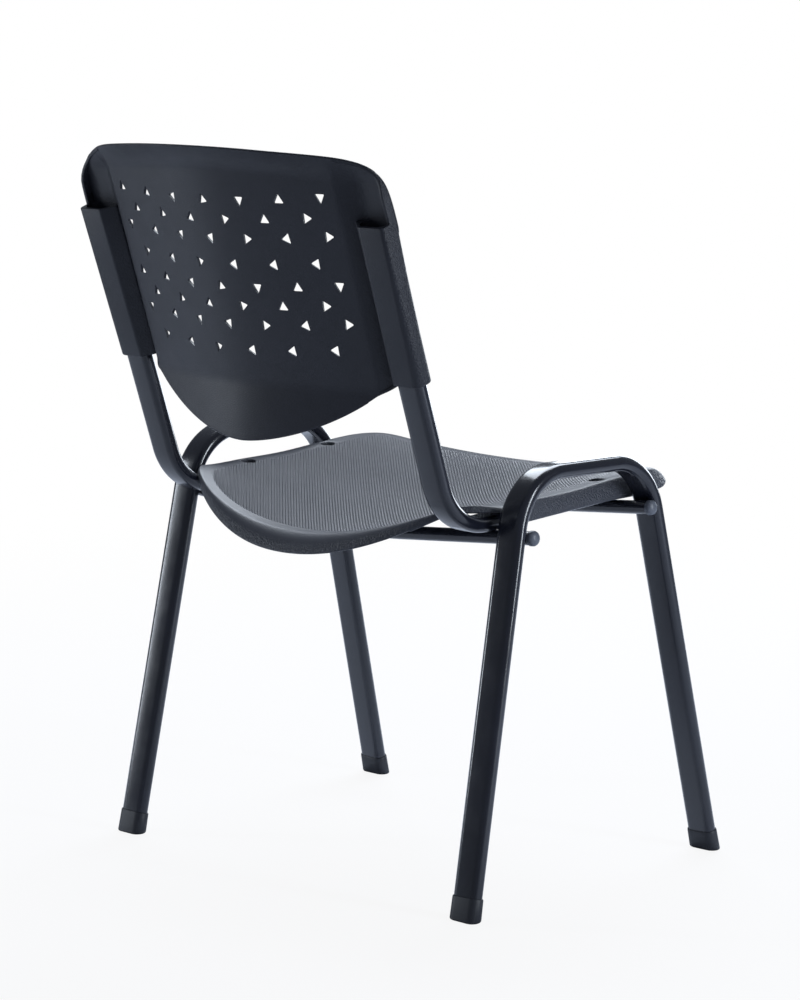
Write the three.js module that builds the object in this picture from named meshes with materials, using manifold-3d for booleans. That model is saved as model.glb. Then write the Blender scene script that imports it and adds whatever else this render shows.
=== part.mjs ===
// A stacking chair: two bent flat-oval leg frames joined by two bowed crossbars, two back posts
// whose forward arms lie on the crossbars, a moulded seat shell screwed down to those arms, and a
// moulded back shell that is pushed over the posts.
// Millimetres, +Z up. The sitter faces -Y, so +X is the sitter's left. The chair stands on z = 0.
import * as THREE from "three";
import { mergeVertices } from "three/addons/utils/BufferGeometryUtils.js";
import Module from "manifold-3d";

const wasm = await Module();
wasm.setup();

// ---- Driving dimensions ----------------------------------------------------------------------
const GAP = 0.3; // clearance between pieces that touch
const STEM_GAP = 0.8; // a plug's stem stands clear of the tube's inner wall
const CENTRE_Y = 49.29; // from the drawing origin, between the legs, to the middle of the chair

const TUBE = { width: 34.4, depth: 16.2, wall: 1.5 }; // flat-oval tube, wide side across the chair
const BEND_STEPS = 7;

// Leg frame: rear foot, rear top corner, front top corner, front foot, as [y, z].
const LEG_CORNERS = [[172.95, 0], [83.98, 461.48], [-122.3, 459.3], [-242.3, 0]];
const LEG_BENDS = [69.6, 72.6];
const FOOT_X = 257.5;
const SPLAY = THREE.MathUtils.degToRad(1.55); // the legs spread outwards towards the floor
const TUBE_ABOVE_FLOOR = 5;

const CAP = { width: 37.8, depth: 19.6, height: 25, sole: 4.6 };

const BAR = { radius: 7.5, wall: 1.5, endX: 259.5, sag: 0.083, bowRadius: 960, flatX: 80 };
const REAR_BAR = { y: 80.4, z: 395.2 }; // centre of the bar's end
const FRONT_BAR = { y: -119.1, z: 407.1 };
const BAR_PLUG = { radius: 8.3, length: 9.5, stem: 12 };

// Back post: arm end, corner and top, as [y, z].
const POST_X = 205;
const POST_CORNERS = [[-118, 419.7], [151.5, 403.7], [265.1, 722]];
const POST_BEND = 70.7;
const RECLINE = Math.atan2(
  POST_CORNERS[2][0] - POST_CORNERS[1][0], POST_CORNERS[2][1] - POST_CORNERS[1][1]);

// Seat shell: a rim outline and a hem outline around one centre, both rounded like superellipses.
const SEAT = { wall: 4, centreY: 72, rimShare: 0.86, columns: 20, spread: 1.25 };
const SEAT_RIM = { halfWidth: 220, rear: 98, rearPower: 2.3, front: 272, frontPower: 16 };
const SEAT_HEM = { halfWidth: 227.2, rear: 120.5, rearPower: 1.85, front: 288, frontPower: 16 };
// Height along the seat's middle, and how much higher its sides are, as [y, z] from the front.
const SEAT_MIDDLE = [
  [-216, 426], [-196, 427.5], [-150, 424], [-94, 415], [-30, 404], [38, 396], [100, 389], [170, 383],
];
const SEAT_DIP = [[-200, 11], [-94, 20], [38, 31], [80, 34], [125, 42], [170, 46]];
const SEAT_DIP_POWER = 2.1;
const SEAT_MARGIN_X = 201; // the seat is level from here out to its side edges
// The hem hangs low behind, rises over the arms at the rear corners, and edges a deep side flange.
const REAR_HEM = { middle: 363.6, rise: 69.5, width: 209.6, power: 2.12, limit: 421 };
const SIDE_HEM = [[-212, 425], [-192, 421], [-150, 417], [-85, 415], [44, 407]];
const FRONT_HEM_DEPTH = 14;
const HEM_TURNS = { front: [-208, -192], rear: [46, 60] }; // where one hem runs into the next
const SHOULDER_DROP = 0.12; // how far down the flange the edge is rounded
const SCREW_Y = [38, -94];
const SCREW = { headRadius: 7.6, shankRadius: 2.4, length: 15, recessRadius: 9, recess: 5.2 };
const BOSS_RADIUS = 9;

// Back shell: half-width, and heights of its widest line, top edge and bottom edge.
const BACK = {
  wall: 3.4, halfWidth: 227, middleZ: 640, top: 163, bottom: 151, columns: 18, spread: 1.2,
};
const BACK_POWERS = { top: 11, bottom: 1.72 };
const BACK_CROWN = 13; // how much lower the top edge is at the corners
// The curve across the panel: how far its middle stands behind its edges, and how it rounds off.
const BULGE = { depth: 56.5, atZ: 670, growth: 0.06, edge: -12, soft: 40, power: 0.64 };
const LIP = { depth: 24, share: 0.16, from: 0.5, full: 0.75, fade: [105, 205] }; // rolled top edge
const CREASE_Z = 552;
const FLARE = 0.33; // the panel kicks back below the crease
// A pocket holds each post; above and beside it the shell steps forward, past the post.
const POCKET = {
  inner: 184.6, outer: 226.6, front: -12.6, rear: 12.6, bottomZ: 564, topZ: 729, corner: 6,
};
const NARROWING = { share: 0.035, starts: [600, 640], ends: [700, 727] }; // where the pockets hide it
const STEP_FRONT = [159, 184];
const STEP_REAR = [165, 190];
const STEP_ENDS = [768, 796];

// Vent holes: rows of seven and six in turn, four rows and then the same four again below.
const VENT_ROWS = [746, 726, 706, 679];
const VENT_REPEAT = 91;
const VENT_SPACING = { seven: 49, six: 50.5 };
const VENT_RADIUS = 6.8;
const VENT_RISE = { height: 7, atX: 146 }; // the rows curve up towards the sides
// Which way each hole points, in quarter turns: 1 up, 3 down, 0 to the right from behind.
const VENT_TURNS = [
  [1, 0.9, 3.2, 1.1, 3, 1, 3],
  [1, 1.1, 2.2, 0.1, 1, 0],
  [3, 3.4, 1.8, 3.2, 0, 2.1, 0],
  [0.1, 2, 0.1, 2, 3.4, 2],
];

// ---- Materials -------------------------------------------------------------------------------
const finish = (color, roughness, metalness) =>
  new THREE.MeshStandardMaterial({ color, roughness, metalness });
const FINISH = {
  paint: finish(0x2b2e36, 0.32, 0.15),
  shell: finish(0x3a3c44, 0.55, 0),
  cap: finish(0x2f333b, 0.6, 0),
  plug: finish(0x6b717b, 0.45, 0),
  screw: finish(0x33363d, 0.4, 0.4),
};

// ---- Helpers ---------------------------------------------------------------------------------
const UNIT_X = new THREE.Vector3(1, 0, 0);
const NEAR_ZERO = 1e-9;

// A closed geometry as a manifold-3d solid, for cutting and joining.
function solid(geometry) {
  const bare = geometry.clone();
  bare.deleteAttribute("normal");
  bare.deleteAttribute("uv");
  const merged = mergeVertices(bare, 1e-4);
  const index = Array.from(merged.index.array);
  const triVerts = [];
  for (let i = 0; i < index.length; i += 3) {
    const [a, b, c] = index.slice(i, i + 3);
    if (a !== b && b !== c && c !== a) triVerts.push(a, b, c);
  }
  return new wasm.Manifold(new wasm.Mesh({
    numProp: 3,
    vertProperties: new Float32Array(merged.attributes.position.array),
    triVerts: new Uint32Array(triVerts),
  }));
}

function geometryOf(manifold) {
  const { vertProperties, triVerts } = manifold.getMesh();
  const geometry = new THREE.BufferGeometry();
  geometry.setAttribute("position", new THREE.BufferAttribute(vertProperties, 3));
  geometry.setIndex(new THREE.BufferAttribute(triVerts, 1));
  geometry.computeVertexNormals();
  return geometry;
}

const chair = new THREE.Group();
chair.position.y = -CENTRE_Y;

function addMesh(name, geometry, material, parent = chair) {
  const mesh = new THREE.Mesh(geometry, material);
  mesh.name = name;
  parent.add(mesh);
  return mesh;
}

// A bent centre line in the plane of one side of the chair: straight runs with round corners.
// Its stations are the run ends and evenly turned steps around each corner.
class BentLine extends THREE.Curve {
  constructor(corners, radii) {
    super();
    this.points = [];
    this.tangents = [];
    const at = corners.map(([y, z]) => new THREE.Vector3(0, y, z));
    const along = at.slice(1).map((p, i) => p.clone().sub(at[i]).normalize());
    this.push(at[0], along[0]);
    radii.forEach((radius, i) => this.turn(at[i + 1], along[i], along[i + 1], radius));
    this.push(at.at(-1), along.at(-1));
  }
  push(point, tangent) {
    this.points.push(point.clone());
    this.tangents.push(tangent.clone());
  }
  turn(corner, before, after, radius) {
    const angle = before.angleTo(after);
    const axis = before.clone().cross(after).normalize();
    const start = corner.clone().addScaledVector(before, -radius * Math.tan(angle / 2));
    const centre = start.clone().addScaledVector(axis.clone().cross(before), radius);
    for (let step = 0; step <= BEND_STEPS; step++) {
      const turned = (angle * step) / BEND_STEPS;
      const arm = start.clone().sub(centre).applyAxisAngle(axis, turned);
      this.push(centre.clone().add(arm), before.clone().applyAxisAngle(axis, turned));
    }
  }
  get steps() {
    return this.points.length - 1;
  }
  getPoint(u) {
    return this.points[Math.round(u * this.steps)].clone();
  }
  getPointAt(u) {
    return this.getPoint(u);
  }
  getTangentAt(u) {
    return this.tangents[Math.round(u * this.steps)].clone();
  }
}

// Outline of a flat oval: two straight sides and two half-circle ends.
function ovalPath(path, width, depth) {
  const r = depth / 2;
  const half = width / 2 - r;
  path.moveTo(-half, -r);
  path.lineTo(half, -r);
  path.absarc(half, 0, r, -Math.PI / 2, Math.PI / 2, false);
  path.lineTo(-half, r);
  path.absarc(-half, 0, r, Math.PI / 2, (3 * Math.PI) / 2, false);
  return path;
}
const oval = (width, depth) => ovalPath(new THREE.Shape(), width, depth);

function tubeSection({ width, depth, wall }) {
  const shape = oval(width, depth);
  shape.holes.push(ovalPath(new THREE.Path(), width - 2 * wall, depth - 2 * wall));
  return shape;
}

function bentTube(line) {
  return new THREE.ExtrudeGeometry(tubeSection(TUBE), {
    steps: line.steps,
    curveSegments: 2,
    extrudePath: line,
  });
}

// A straight bar of the given outline, from one distance to another along a slanted axis in the
// side plane; the outline's first direction stays across the chair.
function slantedBar(shape, foot, direction, from, to) {
  const bar = new THREE.ExtrudeGeometry(shape, {
    depth: to - from,
    bevelEnabled: false,
    curveSegments: 4,
  });
  const side = direction.clone().cross(UNIT_X);
  const placed = new THREE.Matrix4().makeBasis(UNIT_X, side, direction);
  placed.setPosition(foot.clone().addScaledVector(direction, from));
  return bar.applyMatrix4(placed);
}

const smooth = (low, high, value) => THREE.MathUtils.smoothstep(value, low, high);
const mix = THREE.MathUtils.lerp;

// Straight-line values between [position, value] pairs in rising order.
function between(pairs, at) {
  if (at <= pairs[0][0]) return pairs[0][1];
  for (let i = 1; i < pairs.length; i++) {
    const [x0, y0] = pairs[i - 1];
    const [x1, y1] = pairs[i];
    if (at <= x1) return mix(y0, y1, (at - x0) / (x1 - x0));
  }
  return pairs.at(-1)[1];
}

// ---- Leg frames and foot caps ----------------------------------------------------------------
function legFrame(name, side) {
  const corners = LEG_CORNERS.map(([y, z]) => new THREE.Vector2(y, z));
  const lift = (foot, next) =>
    foot.clone().add(next.clone().sub(foot).setLength(TUBE_ABOVE_FLOOR)).toArray();
  const line = new BentLine([
    lift(corners[0], corners[1]),
    LEG_CORNERS[1],
    LEG_CORNERS[2],
    lift(corners[3], corners[2]),
  ], LEG_BENDS);
  const frame = addMesh(name, bentTube(line), FINISH.paint);
  frame.position.x = side * FOOT_X;
  frame.rotation.y = -side * SPLAY;
}

// A plastic cap over a leg's end: a snug sleeve, rounded at the top, with a flat sole.
function footCap(name, side, [footY, footZ], [nextY, nextZ]) {
  const foot = new THREE.Vector3(0, footY, footZ);
  const up = new THREE.Vector3(0, nextY - footY, nextZ - footZ).normalize();
  const below = -15;
  const sleeve = solid(slantedBar(oval(CAP.width, CAP.depth), foot, up, below, CAP.height));
  const bore = solid(slantedBar(
    oval(TUBE.width + 2 * GAP, TUBE.depth + 2 * GAP), foot, up, CAP.sole, CAP.height + 5));
  const placed = new THREE.Matrix4()
    .makeTranslation(side * FOOT_X, 0, 0)
    .multiply(new THREE.Matrix4().makeRotationY(-side * SPLAY));
  const tilted = geometryOf(sleeve.subtract(bore)).applyMatrix4(placed);
  const floor = new THREE.BoxGeometry(100, 100, 40).translate(side * FOOT_X, footY, -20);
  addMesh(name, geometryOf(solid(tilted).subtract(solid(floor))), FINISH.cap);
}

for (const [word, side] of [["left", 1], ["right", -1]]) {
  legFrame(`leg_frame_${word}`, side);
  footCap(`foot_cap_rear_${word}`, side, LEG_CORNERS[0], LEG_CORNERS[1]);
  footCap(`foot_cap_front_${word}`, side, LEG_CORNERS[3], LEG_CORNERS[2]);
}

// ---- Crossbars and their plugs ---------------------------------------------------------------
// Half of the bar's centre line falls inwards in a straight run, then levels out in the middle.
function barDrop(x) {
  const away = Math.abs(x);
  const run = (BAR.endX - Math.max(away, BAR.flatX)) * BAR.sag;
  const bow = away < BAR.flatX ? (BAR.flatX ** 2 - away ** 2) / (2 * BAR.bowRadius) : 0;
  return run + bow;
}

class BowedLine extends THREE.Curve {
  constructor(y, z) {
    super();
    this.place = (x) => new THREE.Vector3(x, y, z - barDrop(x));
    this.stations = [-1, -0.31, -0.19, -0.07, 0.07, 0.19, 0.31, 1].map((t) => t * BAR.endX);
  }
  getPoint(u) {
    return this.place(this.stations[Math.round(u * (this.stations.length - 1))]);
  }
  getPointAt(u) {
    return this.getPoint(u);
  }
  getTangentAt(u) {
    const x = this.getPoint(u).x;
    const ahead = this.place(Math.min(x + 1, BAR.endX));
    return ahead.sub(this.place(Math.max(x - 1, -BAR.endX))).normalize();
  }
}

function crossbar(name, { y, z }) {
  const section = new THREE.Shape().absarc(0, 0, BAR.radius, 0, 2 * Math.PI);
  section.holes.push(new THREE.Path().absarc(0, 0, BAR.radius - BAR.wall, 0, 2 * Math.PI));
  const line = new BowedLine(y, z);
  const bar = new THREE.ExtrudeGeometry(section, {
    steps: line.stations.length - 1,
    curveSegments: 5,
    extrudePath: line,
  });
  addMesh(name, bar, FINISH.paint);
}

function barPlug(name, side, { y, z }) {
  const { radius, length, stem } = BAR_PLUG;
  const inside = BAR.radius - BAR.wall - STEM_GAP;
  const profile = [
    [0, -stem], [inside, -stem], [inside, GAP], [radius, GAP], [radius, 0.55 * length],
    [0.9 * radius, 0.8 * length], [0.55 * radius, 0.96 * length], [0, length],
  ].map(([r, h]) => new THREE.Vector2(r, h));
  const plug = addMesh(name, new THREE.LatheGeometry(profile, 12), FINISH.plug);
  plug.position.set(side * BAR.endX, y, z);
  plug.rotation.z = (-side * Math.PI) / 2;
  plug.rotation.y = -side * Math.atan(BAR.sag);
  plug.rotation.order = "YZX";
}

for (const [word, place] of [["rear", REAR_BAR], ["front", FRONT_BAR]]) {
  crossbar(`crossbar_${word}`, place);
  barPlug(`crossbar_plug_${word}_left`, 1, place);
  barPlug(`crossbar_plug_${word}_right`, -1, place);
}

// ---- Back posts, with screw holes in their arms, and the plugs in the arm ends ------------------
const ARM_START = new THREE.Vector3(0, ...POST_CORNERS[0]);
const ARM_AHEAD = new THREE.Vector3(0, ...POST_CORNERS[0])
  .sub(new THREE.Vector3(0, ...POST_CORNERS[1]))
  .normalize();
const armZ = (y) => ARM_START.z + ((y - ARM_START.y) * ARM_AHEAD.z) / ARM_AHEAD.y;

function backPost(name, side) {
  let post = solid(bentTube(new BentLine(POST_CORNERS, [POST_BEND])));
  for (const y of SCREW_Y) {
    const hole = new THREE.CylinderGeometry(
      SCREW.shankRadius + GAP, SCREW.shankRadius + GAP, TUBE.depth, 10);
    hole.rotateX(Math.PI / 2).translate(0, y, armZ(y) + TUBE.depth / 2);
    post = post.subtract(solid(hole));
  }
  addMesh(name, geometryOf(post), FINISH.paint).position.x = side * POST_X;
}

function armPlug(name, side) {
  const inside = 2 * (TUBE.wall + STEM_GAP);
  const stem = slantedBar(
    oval(TUBE.width - inside, TUBE.depth - inside), ARM_START, ARM_AHEAD, -12, GAP + 1);
  const head = slantedBar(oval(TUBE.width, TUBE.depth), ARM_START, ARM_AHEAD, GAP, 3.5);
  const nose = slantedBar(oval(TUBE.width - 3, TUBE.depth - 3), ARM_START, ARM_AHEAD, 2, 4.6);
  const plug = solid(stem).add(solid(head)).add(solid(nose));
  addMesh(name, geometryOf(plug), FINISH.plug).position.x = side * POST_X;
}

for (const [word, side] of [["left", 1], ["right", -1]]) {
  backPost(`back_post_${word}`, side);
  armPlug(`arm_plug_${word}`, side);
}

// ---- Seat shell ------------------------------------------------------------------------------
function seatHeight(x, y) {
  const across = Math.min(1, Math.abs(x) / SEAT_MARGIN_X);
  return between(SEAT_MIDDLE, y) + between(SEAT_DIP, y) * across ** SEAT_DIP_POWER;
}

function hemHeight(x, y) {
  const { middle, rise, width, power, limit } = REAR_HEM;
  const rear = Math.min(middle + rise * (Math.abs(x) / width) ** power, limit);
  const front = seatHeight(x, y) - FRONT_HEM_DEPTH;
  const flank = mix(front, between(SIDE_HEM, y), smooth(...HEM_TURNS.front, y));
  return mix(flank, rear, smooth(...HEM_TURNS.rear, y));
}

// A point of a rounded outline, for a direction (u, v) on the edge of a square.
function outlinePoint(u, v, { halfWidth, rear, rearPower, front, frontPower }, inset) {
  const power = v > 0 ? rearPower : frontPower;
  const reach = (Math.abs(u) ** power + Math.abs(v) ** power) ** (-1 / power);
  const depth = v > 0 ? rear : front;
  return [(halfWidth - inset) * u * reach, SEAT.centreY + (depth - inset) * v * reach];
}

function seatPoint(u, v, under) {
  const ring = Math.max(Math.abs(u), Math.abs(v));
  const inset = under ? SEAT.wall : 0;
  if (ring < NEAR_ZERO) {
    return new THREE.Vector3(0, SEAT.centreY, seatHeight(0, SEAT.centreY) - inset);
  }
  const [rimX, rimY] = outlinePoint(u / ring, v / ring, SEAT_RIM, inset);
  if (ring <= SEAT.rimShare) {
    const share = ring / SEAT.rimShare;
    const x = rimX * share;
    const y = mix(SEAT.centreY, rimY, share);
    return new THREE.Vector3(x, y, seatHeight(x, y) - inset);
  }
  const [hemX, hemY] = outlinePoint(u / ring, v / ring, SEAT_HEM, inset);
  const rimZ = seatHeight(rimX, rimY) - inset;
  const rim = new THREE.Vector3(rimX, rimY, rimZ);
  const hem = new THREE.Vector3(hemX, hemY, hemHeight(hemX, hemY));
  const shoulder = new THREE.Vector3(hemX, hemY, mix(rimZ, hem.z, SHOULDER_DROP));
  return new THREE.QuadraticBezierCurve3(rim, shoulder, hem)
    .getPoint((ring - SEAT.rimShare) / (1 - SEAT.rimShare));
}

// A flat slab with grid faces, whose every corner is moved to where place(u, v, under) says.
// Grid lines are packed towards the edge, where the shell turns.
function mouldedSlab(columns, spread, place) {
  const slab = new THREE.BoxGeometry(2, 2, 1, columns, columns, 1);
  const position = slab.attributes.position;
  const packed = (t) => Math.sign(t) * (1 - Math.max(0, 1 - Math.abs(t)) ** spread);
  for (let i = 0; i < position.count; i++) {
    const point = place(packed(position.getX(i)), packed(position.getY(i)), position.getZ(i) < 0);
    position.setXYZ(i, point.x, point.y, point.z);
  }
  return slab;
}

function seatShell() {
  let shell = solid(mouldedSlab(SEAT.columns, SEAT.spread, seatPoint));
  for (const side of [1, -1]) {
    for (const y of SCREW_Y) {
      const x = side * POST_X;
      const top = seatHeight(x, y);
      const foot = armZ(y) + TUBE.depth / 2 + GAP + 0.6;
      const round = (radius, low, high, turns) => solid(
        new THREE.CylinderGeometry(radius, radius, high - low, turns)
          .rotateX(Math.PI / 2)
          .translate(x, y, (low + high) / 2));
      shell = shell.add(round(BOSS_RADIUS, foot, top - SEAT.wall / 2, 16));
      shell = shell.subtract(round(SCREW.recessRadius, top - SCREW.recess, top + 10, 16));
      shell = shell.subtract(round(SCREW.shankRadius + 2 * GAP, foot - 5, top, 10));
    }
  }
  addMesh("seat_shell", geometryOf(shell), FINISH.shell);
}

function seatScrew(name, side, y) {
  const { headRadius, shankRadius, length, recess } = SCREW;
  const profile = [
    [0, -length], [shankRadius, -length + 3], [shankRadius, 0], [headRadius, 0],
    [headRadius, 1], [0.75 * headRadius, 2.3], [0.35 * headRadius, 2.9], [0, 3],
  ].map(([r, h]) => new THREE.Vector2(r, h));
  const screw = addMesh(name, new THREE.LatheGeometry(profile, 12), FINISH.screw);
  screw.rotation.x = Math.PI / 2;
  screw.position.set(side * POST_X, y, seatHeight(POST_X, y) - recess + GAP);
}

seatShell();
for (const [word, side] of [["left", 1], ["right", -1]]) {
  seatScrew(`seat_screw_rear_${word}`, side, SCREW_Y[0]);
  seatScrew(`seat_screw_front_${word}`, side, SCREW_Y[1]);
}

// ---- Back shell ------------------------------------------------------------------------------
const postY = (z) => POST_CORNERS[1][0] + Math.tan(RECLINE) * (z - POST_CORNERS[1][1]);

// How far the panel stands behind the plane of the posts, measured along Y.
function panelBehindPosts(x, z) {
  const { depth, atZ, growth, edge, soft, power } = BULGE;
  const across = ((x * x + soft ** 2) / (BACK.halfWidth ** 2 + soft ** 2)) ** power;
  const curve = (depth - growth * (z - atZ)) * (1 - across) + edge;
  return curve + FLARE * Math.max(0, CREASE_Z - z);
}

function backPoint(u, v, behind) {
  const ring = Math.max(Math.abs(u), Math.abs(v), NEAR_ZERO);
  const [a, b] = [Math.abs(u / ring), Math.abs(v / ring)];
  const power = v > 0 ? BACK_POWERS.top : BACK_POWERS.bottom;
  const reach = Math.max(a, b) > 0 ? (a ** power + b ** power) ** (-1 / power) : 1;
  const wide = BACK.halfWidth * u * reach;
  const crown = v > 0 ? BACK_CROWN * (wide / BACK.halfWidth) ** 2 * v : 0;
  const z = BACK.middleZ + (v > 0 ? BACK.top : BACK.bottom) * v * reach - crown;
  const hidden = smooth(...NARROWING.starts, z) * (1 - smooth(...NARROWING.ends, z));
  const x = wide * (1 - NARROWING.share * hidden);
  const rolled = Math.max(0, 1 - (1 - ring) / LIP.share) ** 2;
  const along = smooth(LIP.from, LIP.full, v) * (1 - smooth(...LIP.fade, Math.abs(x)));
  const lip = LIP.depth * rolled * along;
  const panel = panelBehindPosts(x, z) + lip + (behind ? 0.5 : -0.5) * BACK.wall;
  // At the posts both faces step forward, so that the shell passes in front of them.
  const beforePost = POCKET.front + (behind ? BACK.wall : 0);
  const outward = smooth(...(behind ? STEP_REAR : STEP_FRONT), Math.abs(x));
  const step = outward * (1 - smooth(...STEP_ENDS, z));
  return new THREE.Vector3(x, postY(z) + mix(panel, beforePost, step), z);
}

const ALONG_POST = new THREE.Vector3(0, Math.sin(RECLINE), Math.cos(RECLINE));

// A rounded box or bore around the post, between two heights.
function aroundPost(side, [x0, x1], [front, rear], [lowZ, highZ], corner) {
  const shrink = Math.cos(RECLINE);
  const [y0, y1] = [front * shrink, rear * shrink];
  const shape = new THREE.Shape();
  shape.moveTo(x0 + corner, y0);
  shape.lineTo(x1 - corner, y0);
  shape.absarc(x1 - corner, y0 + corner, corner, -Math.PI / 2, 0, false);
  shape.lineTo(x1, y1 - corner);
  shape.absarc(x1 - corner, y1 - corner, corner, 0, Math.PI / 2, false);
  shape.lineTo(x0 + corner, y1);
  shape.absarc(x0 + corner, y1 - corner, corner, Math.PI / 2, Math.PI, false);
  shape.lineTo(x0, y0 + corner);
  shape.absarc(x0 + corner, y0 + corner, corner, Math.PI, 1.5 * Math.PI, false);
  const depth = (highZ - lowZ) / shrink;
  const block = new THREE.ExtrudeGeometry(shape, { depth, bevelEnabled: false, curveSegments: 2 });
  const rearward = new THREE.Vector3(0, Math.cos(RECLINE), -Math.sin(RECLINE));
  const placed = new THREE.Matrix4().makeBasis(UNIT_X, rearward, ALONG_POST);
  placed.setPosition(side < 0 ? -x0 - x1 : 0, postY(lowZ), lowZ);
  return solid(block.applyMatrix4(placed));
}

function ventHole(x, z, quarterTurns) {
  const shape = new THREE.Shape();
  for (let corner = 0; corner < 3; corner++) {
    const angle = (quarterTurns * Math.PI) / 2 + (corner * 2 * Math.PI) / 3;
    const [px, pz] = [VENT_RADIUS * Math.cos(angle), VENT_RADIUS * Math.sin(angle)];
    if (corner === 0) shape.moveTo(px, pz);
    else shape.lineTo(px, pz);
  }
  shape.closePath();
  const depth = 40;
  const punch = new THREE.ExtrudeGeometry(shape, { depth, bevelEnabled: false });
  punch.translate(0, 0, -depth / 2);
  punch.rotateX(Math.PI / 2).rotateZ(Math.PI); // seen from behind, the outline is not mirrored
  const slope = (panelBehindPosts(x + 2, z) - panelBehindPosts(x - 2, z)) / 4;
  punch.rotateZ(Math.atan(slope));
  punch.translate(x, postY(z) + panelBehindPosts(x, z), z);
  return solid(punch);
}

function ventHoles() {
  const holes = [];
  for (const drop of [0, VENT_REPEAT]) {
    VENT_ROWS.forEach((rowZ, row) => {
      const turns = VENT_TURNS[row];
      const spacing = turns.length === 7 ? VENT_SPACING.seven : VENT_SPACING.six;
      turns.forEach((turn, i) => {
        const x = ((turns.length - 1) / 2 - i) * spacing; // from the left as seen from behind
        const z = rowZ - drop + VENT_RISE.height * (x / VENT_RISE.atX) ** 2;
        holes.push(ventHole(x, z, turn));
      });
    });
  }
  return holes;
}

function backShell() {
  let shell = solid(mouldedSlab(BACK.columns, BACK.spread, backPoint));
  const { inner, outer, front, rear, bottomZ, topZ, corner } = POCKET;
  const half = TUBE.width / 2 + GAP;
  const slot = TUBE.depth / 2 / Math.cos(RECLINE) + GAP;
  for (const side of [1, -1]) {
    const block = aroundPost(side, [inner, outer], [front, rear], [bottomZ, topZ], corner);
    shell = shell.add(block);
    const bore = aroundPost(side, [POST_X - half, POST_X + half], [-slot, slot],
      [bottomZ - 40, topZ + 1], 2);
    shell = shell.subtract(bore);
  }
  for (const hole of ventHoles()) shell = shell.subtract(hole);
  addMesh("back_shell", geometryOf(shell), FINISH.shell);
}

backShell();

export default chair;
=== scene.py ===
import bisect
import math

import bmesh
import bpy
from mathutils import Matrix, Vector


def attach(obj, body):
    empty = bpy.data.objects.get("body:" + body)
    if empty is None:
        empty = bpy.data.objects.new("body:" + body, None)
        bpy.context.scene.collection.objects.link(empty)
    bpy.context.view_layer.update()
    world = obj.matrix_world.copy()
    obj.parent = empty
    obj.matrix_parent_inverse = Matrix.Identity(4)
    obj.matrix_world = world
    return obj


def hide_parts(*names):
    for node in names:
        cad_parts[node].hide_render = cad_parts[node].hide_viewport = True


# A stacking chair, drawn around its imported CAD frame. Shapes are worked out in millimetres in the
# CAD's drawing frame and turned into metres in the row frame by place().
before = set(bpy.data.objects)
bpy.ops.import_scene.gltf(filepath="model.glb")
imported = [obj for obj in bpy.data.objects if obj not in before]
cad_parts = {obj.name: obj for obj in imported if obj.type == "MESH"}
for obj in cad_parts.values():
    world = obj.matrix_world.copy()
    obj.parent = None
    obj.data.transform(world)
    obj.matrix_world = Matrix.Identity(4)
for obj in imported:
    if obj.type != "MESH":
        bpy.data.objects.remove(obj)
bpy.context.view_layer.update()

MM = 0.001
CENTRE_Y = 49.29  # from the drawing origin, between the legs, to the row frame's origin

# ---- Dimensions, in millimetres and degrees -----------------------------------------------------
TUBE_WIDTH, TUBE_DEPTH = 34.4, 16.2
LEG_CORNERS = [(172.95, 0.0), (83.98, 461.48), (-122.3, 459.3), (-242.3, 0.0)]
LEG_BENDS = [69.6, 72.6]
FOOT_X = 257.5
SPLAY = math.radians(1.55)
TUBE_ABOVE_FLOOR = 5.0
CAP_WIDTH, CAP_DEPTH, CAP_HEIGHT = 37.8, 19.6, 25.0

BAR_RADIUS, BAR_END_X, BAR_SAG = 7.5, 259.5, 0.083
BAR_BOW_RADIUS, BAR_FLAT_X = 960.0, 80.0
BARS = {"rear": (80.4, 395.2), "front": (-119.1, 407.1)}
BAR_PLUG_RADIUS, BAR_PLUG_LENGTH, BAR_PLUG_STEM = 8.3, 9.5, 12.0

POST_X = 205.0
POST_CORNERS = [(-118.0, 419.7), (151.5, 403.7), (265.1, 722.0)]
POST_BEND = 70.7
RECLINE = math.atan2(265.1 - 151.5, 722.0 - 403.7)

SEAT_WALL, SEAT_CENTRE_Y, SEAT_RIM_SHARE = 4.0, 72.0, 0.86
SEAT_RIM = dict(half_width=220.0, rear=98.0, rear_power=2.3, front=272.0, front_power=16.0)
SEAT_HEM = dict(half_width=227.2, rear=120.5, rear_power=1.85, front=288.0, front_power=16.0)
SEAT_MIDDLE = [(-216, 426), (-196, 427.5), (-150, 424), (-94, 415), (-30, 404), (38, 396), (100, 389),
               (170, 383)]
SEAT_DIP = [(-200, 11), (-94, 20), (38, 31), (80, 34), (125, 42), (170, 46)]
SEAT_DIP_POWER, SEAT_MARGIN_X, MARGIN_SHOULDER = 2.1, 201.0, (0.86, 1.06)
SIDE_HEM = [(-212, 425), (-192, 421), (-150, 417), (-85, 415), (44, 407)]
REAR_HEM = dict(middle=363.6, rise=69.5, width=209.6, power=2.12, limit=421.0)
FRONT_HEM_DEPTH = 14.0
HEM_TURNS = {"front": (-208, -192), "rear": (46, 60)}
SEAT_SHOULDER = 0.45  # 0 for a flat apron, 1 for a full round one
SCREW_Y = {"rear": 38.0, "front": -94.0}
SCREW_RECESS_RADIUS, SCREW_RECESS = 9.0, 5.2
SCREW_HEAD_RADIUS, SCREW_SHANK_RADIUS, SCREW_LENGTH = 7.6, 2.4, 15.0
SCREW_SLOT_TURN, SCREW_BORE_RADIUS, BOSS_RADIUS, BOSS_ABOVE_ARM = 0.3, 3, 9, 0.9

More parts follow.
